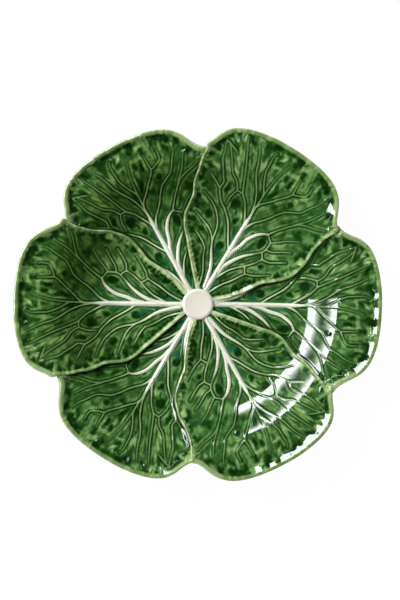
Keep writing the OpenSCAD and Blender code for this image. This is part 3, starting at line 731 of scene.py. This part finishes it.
def buildLeaf(name, netMesh, leafMap, turn, lobe, isUpper, material):
    mesh = netMesh.copy()
    mesh.name = name
    count = len(mesh.vertices)
    co = np.empty(count * 3)
    mesh.vertices.foreach_get("co", co)
    co = co.reshape(-1, 3)
    ring = np.empty(count, int)
    mesh.attributes["ring"].data.foreach_get("value", ring)
    last = leafNet["rings"] + 1
    v, s = (co[:, 0] + 1) / 2, (co[:, 1] + 1) / 2
    # The faces crowd towards both sides and towards the rim
    v = v - leafNet["crowdSides"] * np.sin(2 * math.pi * v) / (2 * math.pi)
    s = s + leafNet["crowdRim"] * np.sin(math.pi * s) / math.pi * (0.5 - 0.5 * np.cos(math.pi * s))

    lipHalf = plate["lipHalf"]
    edges = leafEdges(isUpper, lipHalf, lipHalf if isUpper else -leafShape["tuckedUnder"])
    lowEdges = leafEdges(isUpper, lipHalf + leafShape["underRim"],
                         lipHalf - leafShape["underSide"] if isUpper else -leafShape["underTucked"])
    plan = patch(edges, s, v)
    low = ring == last
    plan[low] = patch(lowEdges, s[low], v[low])
    plan *= lobe

    def seamGap(s, v):
        # How far a place of a lower leaf lies from the lip of its neighbour
        if isUpper:
            return np.full(s.shape, farAway)
        right, _, left = edges
        width = np.linalg.norm(sample(left, np.linspace(0, 1, len(left)), s)
                               - sample(right, np.linspace(0, 1, len(right)), s), axis=1)
        return np.minimum(v, 1 - v) * width - leafShape["tuckedUnder"] + farAway * climb(s, *seam["rimFrom"])

    breaks = spreadMarks(rimBreaks.get(name, []), plate["breakSoftness"])

    def topHeight(xy, s, v):
        x, y = xy[:, 0] / lobe, xy[:, 1] / lobe
        r, far = np.hypot(xy[:, 0], xy[:, 1]), np.hypot(x, y)
        toEdge = readMap(leafMap["edge"], x, y)
        lip = plate["lipHeight"] * hump((toEdge - lipHalf) / plate["lipFlank"])
        slope = readMap(leafMap["sideSlope"], x, y)
        even = np.clip(plate["lipHeight"] - slope * np.maximum(toEdge - lipHalf, 0), 0, plate["lipHeight"])
        lip += (even - lip) * (1 - climb(far, *plate["evenTo"]))
        onRim = readMap(leafMap["onRim"], x, y)
        wide = readMap(leafMap["flank"], x, y)
        rimSlope = rimSlopes.get(name, plate["rimSlope"]) * (1 - plate["rimBreak"] * readMap(breaks, x, y))
        lip = lip * (1 - onRim) + rimFlank(toEdge, wide, rimSlope) * onRim
        gutter = rimSlope * (wide - plate["rimSoftness"]) - plate["rimTop"]
        toSeam = seamGap(s, v)
        z = (dishHeight(r) + readMap(leafMap["height"], x, y) * climb(toSeam, *seam["veinsFrom"])
             - gutter * climb(far, *plate["gutter"]))
        if isUpper:
            edgeShare = 1 - (1 - ease(np.abs(2 * v - 1))) * (1 - s ** plate["stepPower"])
            step = plate["stepAtMidrib"] + (1 - plate["stepAtMidrib"]) * edgeShare
            return z + plate["leafStep"] * step + lip * climb(s, *plate["lipFrom"])
        # A lower leaf swells beside the seam
        shaded, atHeart = climb(v, *seam["shaded"]), 1 - climb(r, *seam["heart"])

        def grown(least, more, heart):
            return least + shaded * (more + heart * atHeart)

        beside = 1 - ease(toSeam / grown(*seam["swellReach"]))
        return z + lip * climb(s, *seam["lipFrom"]) + grown(*seam["swell"]) * beside

    top = ring == 0
    z = np.zeros(count)
    z[top] = topHeight(plan[top], s[top], v[top])

    # Crest and underside at each place of the border
    rings = (ring > 0) & (ring < last)
    bs, bv = s[rings], v[rings]
    crest = patch(edges, bs, bv) * lobe
    crestZ = topHeight(crest, bs, bv)
    away = borderNormals(edges, bs, bv)
    onRim = climb(bs, *bead["rimFrom"])
    atRoot = bs < leafNet["onBorder"]

    def lowHeight(xy):
        r = np.hypot(xy[:, 0], xy[:, 1])
        plain = underHeight(r)
        thin = dishHeight(r) + (plate["leafStep"] if isUpper else 0) - plate["rimSink"] - plate["rimWall"]
        return plain + (np.maximum(thin, plain) - plain) * climb(r / lobe, *plate["rimThins"])

    k = ring[rings]
    out, drop = np.zeros(len(k)), np.zeros(len(k))
    depth = crestZ - lowHeight(crest)
    for n, (outward, sideDown, rimDown) in enumerate(zip(bead["out"], bead["sideDown"], bead["rimDown"]), 1):
        out = np.where(k == n, outward, out)
        drop = np.where(k == n, sideDown * (1 - onRim) + rimDown * onRim, drop)
    neckOut, neckDown = bead["neck"]
    rimOut, rimUp = bead["rimUnder"]
    out = np.where(k == last - 2, neckOut + (rimOut - neckOut) * onRim, out)
    drop = np.where(k == last - 2, neckDown + (depth - rimUp - neckDown) * onRim, drop)
    out = np.where(k == last - 1, bead["foot"][0], out)
    drop = np.where(k == last - 1, depth - bead["foot"][1], drop)
    if not isUpper:
        tucked = 1 - climb(bs, *seam["tuckedTo"])
        fall = (k - seam["firstRing"]) / leafNet["rings"]
        out = out * (1 - tucked) - seam["tuckedIn"] * fall * tucked
        drop = drop * (1 - tucked) + depth * fall * tucked
    out = np.where(atRoot, 0, out)
    drop = np.where(atRoot, depth * k / (last + 0.5), drop)
    plan[rings] = crest + away * out[:, None]
    z[rings] = crestZ - drop
    z[low] = lowHeight(plan[low])

    x, y = plan[:, 0] / lobe, plan[:, 1] / lobe
    r = np.hypot(plan[:, 0], plan[:, 1])
    edgeFade = np.minimum(np.minimum(v, 1 - v) * underRelief["sideFade"], (1 - s) * underRelief["rimFade"])
    edgeFade = ease(edgeFade[low])
    rise = readMap(leafMap["height"], x[low], y[low]) * climb(r[low], *underRelief["from"]) * edgeFade
    z[low] -= underRelief["share"] * rise

    a = math.radians(turn)
    moved = np.stack([plan[:, 0] * math.cos(a) - plan[:, 1] * math.sin(a),
                      plan[:, 0] * math.sin(a) + plan[:, 1] * math.cos(a), z], -1) * mm
    mesh.vertices.foreach_set("co", moved.ravel())

    # Masks that the glaze reads
    layers = {key: readMap(leafMap[key], x, y) for key in ("tone", "pale", "span", "cream", "teal", "lip")}
    below = np.where(low | (rings & (ring > len(bead["out"]))), 1.0, 0.0)
    lip = layers["lip"]
    if not isUpper:
        lip = lip * climb(s, *seam["paleLipFrom"])
    least, more, floorShare = bead["palenessByLip"]
    beadTone = np.interp(ring, range(len(bead["paleness"])), bead["paleness"])
    lip = np.where(rings, beadTone * np.clip(least + more * lip, floorShare, 1), lip)
    toSeam = seamGap(s, v)
    # Painted shade with pooled glaze: a lower leaf is darker beside its neighbour's lip, less where the real
    # shadow falls
    seamShade, less = seam["tone"]
    tone = layers["tone"] - (seamShade - less * climb(v, *seam["shaded"])) * (1 - climb(toSeam, *seam["paintedShadeTo"]))
    # Painted shade: the side of the wall turned away from the key light is made darker and olive
    oliveShade = np.cos(np.arctan2(y, x) + a - math.radians(glaze["paintedShadeTurn"]))
    oliveShade = climb(oliveShade, *glaze["paintedShadeFrom"]) * bell(r, *glaze["paintedShadeBand"])
    pale = layers["pale"] * (1 - glaze["veinBelow"] * below) * climb(toSeam, *seam["paleFrom"])
    masks = {"glazeTone": tone, "veinPale": pale, "veinSpan": layers["span"],
             "ribCream": layers["cream"] * (1 - below), "ribTeal": layers["teal"] * (1 - below),
             "lipPale": lip * (1 - glaze["lipBelow"] * below), "paintedShadeOlive": oliveShade}
    for key, values in masks.items():
        layer = mesh.attributes.new(key, "FLOAT", "POINT")
        layer.data.foreach_set("value", values.astype(np.float32))
    mesh.attributes.remove(mesh.attributes["ring"])
    smooth(mesh)
    mesh.update()
    mesh.materials.append(material)
    leaf = placed(name, mesh)
    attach(leaf, "root")
    return leaf


def paint(red, green, blue):
    # A colour as seen on a screen, 0 to 255, in linear light
    def linear(c):
        c /= 255
        return c / 12.92 if c <= 0.04045 else ((c + 0.055) / 1.055) ** 2.4
    return (linear(red), linear(green), linear(blue), 1.0)


glaze = {
    "deep": paint(9, 40, 3),
    "dark": paint(20, 59, 11),
    "body": paint(55, 99, 42),
    "light": paint(108, 148, 84),
    "bright": paint(164, 188, 126),
    "stops": ((0.22, "dark"), (0.5, "body"), (0.75, "light")),
    "vein": paint(208, 222, 176),
    "veinFar": paint(150, 181, 117),
    "veinFrom": (0.6, 1.0),  # paleness of a vein from the far colour to the near one
    "lip": paint(128, 158, 92),
    "lipCloud": (0.9, 0.7),
    "crest": paint(196, 211, 160),
    "crestFrom": (0.56, 2.3),
    "teal": paint(13, 101, 63),
    "tealShare": 0.8,
    "cream": paint(230, 230, 212),
    "heart": paint(236, 233, 220),
    "oliveShade": (0.68, 0.72, 0.42, 1.0),  # what the painted shade lets through, darker and olive
    # Direction and radius band of the wall that is painted darker, as if in shade
    "paintedShadeTurn": 150,
    "paintedShadeFrom": (0.1, 0.8),
    "paintedShadeBand": (92, 22),
    "veinBelow": 0.5,  # what the veins and lips lose in paleness underneath
    "lipBelow": 0.4,
    # Squared distances from a fine vein, in half widths of its line
    "line": (0.5, 1.9),
    "besideFrom": (0.9, 2.4),
    "besideTo": (4.0, 13.0),
    "besideVein": 0.19,
    "cloud": {"Scale": 150.0, "Detail": 3.0, "Roughness": 0.55, "Distortion": 0.4},
    "mottle": 0.18,
    "fine": {"Scale": 520.0, "Detail": 2.0},
    "grain": 0.1,
    "rough": (0.3, 0.16),
    "bump": {"Strength": 0.5, "Distance": 0.0011},
    "gloss": {"IOR": 1.5, "Specular IOR Level": 0.06, "Coat Weight": 1.0, "Coat Roughness": 0.035,
              "Coat IOR": 1.5},
}
plainLook = {
    "detail": 3.0,
    "below": (4 * mm, 6 * mm),  # heights between which the colour below gives way
    "bump": {"Strength": 0.2, "Distance": 0.0002},
    "gloss": {"Coat Weight": 1.0, "Coat Roughness": 0.03},
}


def node(tree, kind, inputs=None, **settings):
    made = tree.nodes.new(kind)
    for key, value in settings.items():
        setattr(made, key, value)
    for key, value in (inputs or {}).items():
        if isinstance(value, bpy.types.NodeSocket):
            tree.links.new(value, made.inputs[key])
        else:
            made.inputs[key].default_value = value
    return made


def calc(tree, operation, a, b, limit=False):
    return node(tree, "ShaderNodeMath", {0: a, 1: b}, operation=operation, use_clamp=limit).outputs[0]


def mixColour(tree, share, a, b, blend="MIX"):
    return node(tree, "ShaderNodeMix", {0: share, 6: a, 7: b}, data_type="RGBA", blend_type=blend).outputs[2]


def ranged(tree, value, start, end, low=0.0, high=1.0, kind="LINEAR"):
    return node(tree, "ShaderNodeMapRange", {0: value, 1: start, 2: end, 3: low, 4: high},
                interpolation_type=kind).outputs[0]


def emptied(owner):
    # The node tree of a material or of the world, with nothing in it yet
    owner.use_nodes = True
    owner.node_tree.nodes.clear()
    return owner.node_tree


def makeGlazeGroup():
    # Colour and thickness of a green glaze that pools in the hollows and thins on the veins
    group = bpy.data.node_groups.new("pooledGlaze", "ShaderNodeTree")
    for name in ("Tone", "Vein", "Lip", "Teal", "Cream", "PaintedShade", "Span", "Shift"):
        group.interface.new_socket(name, in_out="INPUT", socket_type="NodeSocketFloat")
    for name, kind in (("Colour", "NodeSocketColor"), ("Height", "NodeSocketFloat"),
                       ("Roughness", "NodeSocketFloat")):
        group.interface.new_socket(name, in_out="OUTPUT", socket_type=kind)
    given = node(group, "NodeGroupInput").outputs
    place = node(group, "ShaderNodeTexCoord").outputs["Object"]
    cloud = node(group, "ShaderNodeTexNoise", {"Vector": place, **glaze["cloud"]}).outputs["Fac"]
    fine = node(group, "ShaderNodeTexNoise", {"Vector": place, **glaze["fine"]}).outputs["Fac"]

    def times(a, b, limit=False):
        return calc(group, "MULTIPLY", a, b, limit)

    cloudPart = times(calc(group, "SUBTRACT", cloud, 0.5), glaze["mottle"] * 2)
    finePart = times(calc(group, "SUBTRACT", fine, 0.5), glaze["grain"] * 2)
    # A fine vein is a pale line with a dark line on each side
    line = ranged(group, given["Span"], *glaze["line"], 1.0, 0.0, "SMOOTHSTEP")
    inner = ranged(group, given["Span"], *glaze["besideFrom"], kind="SMOOTHSTEP")
    outer = ranged(group, given["Span"], *glaze["besideTo"], 1.0, 0.0, "SMOOTHSTEP")
    beside = times(times(inner, outer), given["Vein"])
    line = times(line, given["Vein"], True)
    tone = calc(group, "ADD", given["Tone"], given["Shift"])
    tone = calc(group, "SUBTRACT", tone, times(beside, glaze["besideVein"]))
    tone = calc(group, "ADD", calc(group, "ADD", tone, cloudPart), finePart, True)
    ramp = node(group, "ShaderNodeValToRGB", {"Fac": tone})
    stops = ramp.color_ramp.elements
    stops[0].position, stops[0].color = 0.0, glaze["deep"]
    stops[1].position, stops[1].color = 1.0, glaze["bright"]
    for at, key in glaze["stops"]:
        stop = stops.new(at)
        stop.color = glaze[key]
    # Painted shade: darker and olive on the side of the wall turned away from the key light
    colour = mixColour(group, given["PaintedShade"], ramp.outputs["Color"], glaze["oliveShade"], "MULTIPLY")
    colour = mixColour(group, times(given["Teal"], glaze["tealShare"], True), colour, glaze["teal"])
    least, more = glaze["lipCloud"]
    lip = times(given["Lip"], calc(group, "ADD", least, times(cloud, more)), True)
    start, steepness = glaze["crestFrom"]
    crest = times(calc(group, "SUBTRACT", given["Lip"], start), steepness, True)
    colour = mixColour(group, lip, colour, glaze["lip"])
    colour = mixColour(group, crest, colour, glaze["crest"])
    near = ranged(group, given["Vein"], *glaze["veinFrom"])
    colour = mixColour(group, line, colour, mixColour(group, near, glaze["veinFar"], glaze["vein"]))
    colour = mixColour(group, given["Cream"], colour, glaze["cream"])
    least, more = glaze["rough"]
    node(group, "NodeGroupOutput", {"Colour": colour, "Height": tone,
                                    "Roughness": calc(group, "ADD", least, times(fine, more))})
    return group


glazeGroup = makeGlazeGroup()


def leafGlaze(name, shift):
    material = bpy.data.materials.new(name)
    tree = emptied(material)
    keys = {"Tone": "glazeTone", "PaintedShade": "paintedShadeOlive", "Span": "veinSpan", "Vein": "veinPale",
            "Lip": "lipPale", "Teal": "ribTeal", "Cream": "ribCream"}
    pooled = node(tree, "ShaderNodeGroup", node_tree=glazeGroup)
    for socket, attribute in keys.items():
        read = node(tree, "ShaderNodeAttribute", attribute_name=attribute)
        tree.links.new(read.outputs["Fac"], pooled.inputs[socket])
    pooled.inputs["Shift"].default_value = shift
    bump = node(tree, "ShaderNodeBump", {"Height": pooled.outputs["Height"], **glaze["bump"]})
    surface = node(tree, "ShaderNodeBsdfPrincipled",
                   {"Base Color": pooled.outputs["Colour"], "Roughness": pooled.outputs["Roughness"],
                    "Normal": bump.outputs["Normal"], **glaze["gloss"]})
    node(tree, "ShaderNodeOutputMaterial", {"Surface": surface.outputs["BSDF"]})
    return material


def plainGlaze(name, look, below=None):
    # A clouded glaze, in another colour further down if there is one
    material = bpy.data.materials.new(name)
    tree = emptied(material)
    place = node(tree, "ShaderNodeTexCoord").outputs["Object"]
    cloud = node(tree, "ShaderNodeTexNoise",
                 {"Vector": place, "Scale": look["cloud"], "Detail": plainLook["detail"]}).outputs["Fac"]
    tint = mixColour(tree, cloud, look["colour"], look["warm"])
    if below:
        up = node(tree, "ShaderNodeSeparateXYZ", {0: place}).outputs["Z"]
        tint = mixColour(tree, ranged(tree, up, *plainLook["below"], 1.0, 0.0), tint, below)
    bump = node(tree, "ShaderNodeBump", {"Height": cloud, **plainLook["bump"]})
    surface = node(tree, "ShaderNodeBsdfPrincipled",
                   {"Base Color": tint, "Roughness": look["rough"], "Normal": bump.outputs["Normal"],
                    **plainLook["gloss"]})
    node(tree, "ShaderNodeOutputMaterial", {"Surface": surface.outputs["BSDF"]})
    return material


# The six leaves: name, direction in degrees, size of the lobe, whether it lies on top, CAD node
leaves = [
    ("lowerLeafOne", 0, 1.0, False, "lower_leaf_1"),
    ("lowerLeafTwo", 120, 0.977, False, "lower_leaf_2"),
    ("lowerLeafThree", 240, 0.981, False, "lower_leaf_3"),
    ("upperLeafOne", 60, 0.992, True, "upper_leaf_1"),
    ("upperLeafTwo", 180, 1.0, True, "upper_leaf_2"),
    ("upperLeafThree", 300, 0.987, True, "upper_leaf_3"),
]
toneShift = {"upper": 0.0, "lower": -0.03}
leafMap = makeLeafMap()
print("leaf pattern made")
netMesh = makeNet(leafNet["steps"], leafNet["underSteps"], leafNet["rings"])
upperGlaze = leafGlaze("upperLeafGlaze", toneShift["upper"])
lowerGlaze = leafGlaze("lowerLeafGlaze", toneShift["lower"])
for name, turn, lobe, isUpper, cadNode in leaves:
    leaf = buildLeaf(name, netMesh, leafMap, turn, lobe, isUpper, upperGlaze if isUpper else lowerGlaze)
    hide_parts(cadNode)
print("leaves made")

# The cut stalk and the foot ring, in mm
stalk = {
    "radius": 11.3, "top": 10.4, "round": 0.5, "bevel": 1.3, "bevelDrop": 0.467, "bevelTurn": 71, "dip": 0.3,
    "base": 3.0, "steps": 128,
    "face": [(0, 1), (0.6, 1), (0.86, 0.5)],  # shares of the face's radius and of its dip
    "faceEdge": [(-0.2, 0.05), (0.1, 0.03), (0.4, 0.13), (1.32, 0.446)],  # out from the face, and down
    "colour": glaze["heart"], "warm": paint(226, 222, 206), "cloud": 160.0, "rough": 0.3,
}
foot = {
    "outer": 69.0, "width": 7.0, "height": 3.0, "round": 1.1, "sunk": 0.2, "steps": 240,
    "colour": paint(86, 124, 66), "warm": paint(52, 96, 42), "cloud": 120.0, "rough": 0.35,
}
arcSteps = 8
mergeWithin = 0.00001


def spinProfile(name, profile, steps, material):
    # Turns an outline in the x-z plane once round the axis
    bm = bmesh.new()
    corners = [bm.verts.new((x * mm, 0, z * mm)) for x, z in profile]
    edges = [bm.edges.new(pair) for pair in zip(corners, corners[1:])]
    bmesh.ops.spin(bm, geom=corners + edges, cent=(0, 0, 0), axis=(0, 0, 1), angle=math.tau, steps=steps,
                   use_merge=True)
    bmesh.ops.remove_doubles(bm, verts=bm.verts, dist=mergeWithin)
    bmesh.ops.recalc_face_normals(bm, faces=bm.faces)
    mesh = bpy.data.meshes.new(name)
    bm.to_mesh(mesh)
    bm.free()
    smooth(mesh)
    mesh.materials.append(material)
    piece = placed(name, mesh)
    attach(piece, "root")
    return piece


def arc(x, z, radius, start, end):
    turns = np.radians(np.linspace(start, end, arcSteps))
    return [(x + radius * math.cos(t), z + radius * math.sin(t)) for t in turns]


stalkGlaze = plainGlaze("stalkGlaze", stalk, glaze["body"])
footGlaze = plainGlaze("footGlaze", foot)
flat = stalk["radius"] - stalk["round"] - stalk["bevel"]
shoulder = stalk["top"] - stalk["bevelDrop"] - stalk["round"]
stalkProfile = ([(flat * out, stalk["top"] - down * stalk["dip"]) for out, down in stalk["face"]]
                + [(flat + out, stalk["top"] - down) for out, down in stalk["faceEdge"]]
                + arc(stalk["radius"] - stalk["round"], shoulder, stalk["round"], stalk["bevelTurn"], 0)
                + [(stalk["radius"], stalk["base"]), (0, stalk["base"])])
heart = spinProfile("cutStalk", stalkProfile, stalk["steps"], stalkGlaze)
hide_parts("stalk")

inner, top = foot["outer"] - foot["width"], foot["height"] + foot["sunk"]
footProfile = ([(inner, top)] + arc(inner + foot["round"], foot["round"], foot["round"], 180, 270)
               + arc(foot["outer"] - foot["round"], foot["round"], foot["round"], 270, 360)
               + [(foot["outer"], top), (inner, top)])
footRing = spinProfile("footRing", footProfile, foot["steps"], footGlaze)
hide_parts("foot_ring")
print("stalk and foot made")

# Floor, camera and light
studio = {
    "distance": 2.0,  # camera above the rim, in metres
    "rimHeight": 0.028,
    "frameHeight": 600 * 0.7186 * mm,  # what the photograph's height spans at the rim
    "aim": (1.5 * mm, 3.1 * mm),
    "roll": -1.0,
    "sensor": 36.0,
    "farthest": 20,
    "azimuth": 146.5,  # key light
    # Strips as edges in degrees from vertical, seen from the steep part of the wall, and brightness
    "strips": [(39.9, 43.3, 23.0), (43.3, 43.8, 12.5), (43.8, 44.2, 5.0), (44.2, 44.9, 0.6)],
    "stripColour": (0.95, 0.96, 1.0),
    "stripFrom": 0.087,  # the steep part's distance from the middle and its height, in metres
    "stripFromHeight": 0.018,
    "stripTurns": 74.0,
    "stripPanels": 6,
    "stripFar": 1.3,
    "sky": 0.28,
    "skyLean": 0.22,  # how much brighter the key light's side of the room is
    "skyGloss": (0.0, 0.7, 0.6, 0.02),  # heights in the room, and how bright it is there in the gloss
    "windowZenith": 55.0,
    "windowSize": 0.8,
    "windowFar": 1.6,
    "windowLight": 0.86,
    "floorSize": 3.0,
    "floorColour": (0.9, 0.9, 0.9, 1.0),
    "floorWhite": 0.985,  # how much of the floor the camera sees as plain white
}
white = (1.0, 1.0, 1.0, 1.0)

floorMesh = bpy.data.meshes.new("floor")
bm = bmesh.new()
bmesh.ops.create_grid(bm, x_segments=1, y_segments=1, size=studio["floorSize"])
bm.to_mesh(floorMesh)
bm.free()
floor = placed("floor", floorMesh)
floor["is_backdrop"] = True
floorPaint = bpy.data.materials.new("floorPaint")
tree = emptied(floorPaint)
path = node(tree, "ShaderNodeLightPath")
matt = node(tree, "ShaderNodeBsdfDiffuse", {"Color": studio["floorColour"]})
plain = node(tree, "ShaderNodeEmission", {"Color": white, "Strength": 1.0})
share = calc(tree, "MULTIPLY", path.outputs["Is Camera Ray"], studio["floorWhite"])
mixed = node(tree, "ShaderNodeMixShader", {0: share, 1: matt.outputs[0], 2: plain.outputs[0]})
node(tree, "ShaderNodeOutputMaterial", {"Surface": mixed.outputs[0]})
floorMesh.materials.append(floorPaint)

world = bpy.data.worlds.new("studio")
bpy.context.scene.world = world
tree = emptied(world)
rays = node(tree, "ShaderNodeLightPath").outputs
direction = node(tree, "ShaderNodeTexCoord").outputs["Generated"]
up = node(tree, "ShaderNodeSeparateXYZ", {"Vector": direction}).outputs["Z"]
azimuth = math.radians(studio["azimuth"])
keySide = (math.cos(azimuth), math.sin(azimuth), 0)
lean = node(tree, "ShaderNodeVectorMath", {0: direction, 1: keySide}, operation="DOT_PRODUCT").outputs["Value"]
room = calc(tree, "ADD", studio["sky"], calc(tree, "MULTIPLY", lean, studio["skyLean"]))
sky = calc(tree, "MULTIPLY", calc(tree, "SUBTRACT", 1.0, rays["Is Glossy Ray"]), room)
gloss = calc(tree, "MULTIPLY", rays["Is Glossy Ray"], ranged(tree, up, *studio["skyGloss"]))
sky = calc(tree, "ADD", sky, gloss)
sky = calc(tree, "MULTIPLY", sky, calc(tree, "SUBTRACT", 1.0, rays["Is Camera Ray"]))
sky = calc(tree, "ADD", sky, rays["Is Camera Ray"])
background = node(tree, "ShaderNodeBackground", {"Color": white, "Strength": sky})
node(tree, "ShaderNodeOutputWorld", {"Surface": background.outputs[0]})


def addStrip(name, low, high, radiance):
    # Flat panels side by side on an arc, each turned to the wall opposite; seen only in the gloss
    count, far = studio["stripPanels"], studio["stripFar"]
    each = math.radians(studio["stripTurns"]) / count
    zenith = math.radians((low + high) / 2)
    aside = far * math.sin(zenith) - studio["stripFrom"]
    across = 2 * aside * math.tan(each / 2)
    tall = 2 * far * math.tan(math.radians(high - low) / 2)
    for k in range(count):
        turn = azimuth + (k - (count - 1) / 2) * each
        lamp = bpy.data.lights.new(f"{name}{k}", "AREA")
        lamp.shape = "RECTANGLE"
        lamp.size, lamp.size_y = across, tall
        lamp.energy = radiance * math.pi * across * tall
        lamp.color = studio["stripColour"]
        panel = placed(f"{name}{k}", lamp)
        panel.location = (aside * math.cos(turn), aside * math.sin(turn),
                          far * math.cos(zenith) + studio["stripFromHeight"])
        panel.rotation_euler = (zenith, 0, turn + math.pi / 2)
        panel.visible_diffuse = False


for order, (low, high, radiance) in enumerate(studio["strips"]):
    addStrip(f"strip{order}x", low, high, radiance)

# A broad soft window behind the strips, seen only in the matt part of the glaze
windowLamp = bpy.data.lights.new("window", "AREA")
windowLamp.size = studio["windowSize"]
zenith, far = math.radians(studio["windowZenith"]), studio["windowFar"]
windowLamp.energy = studio["windowLight"] * (math.pi * far) ** 2 / math.cos(zenith)
windowLight = placed("window", windowLamp)
windowLight.location = (far * math.sin(zenith) * math.cos(azimuth), far * math.sin(zenith) * math.sin(azimuth),
                        far * math.cos(zenith))
windowLight.rotation_euler = (zenith, 0, azimuth + math.pi / 2)
windowLight.visible_glossy = False

lens = bpy.data.cameras.new("camera")
lens.sensor_width = studio["sensor"]
lens.lens = lens.sensor_width * studio["distance"] / studio["frameHeight"]
lens.clip_end = studio["farthest"]
camera = placed("camera", lens)
camera.location = (*studio["aim"], studio["distance"] + studio["rimHeight"])
camera.rotation_euler = (0, 0, math.radians(-studio["roll"]))
bpy.context.scene.camera = camera
bpy.context.scene.view_settings.view_transform = "Standard"
print("studio made")

low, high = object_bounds()
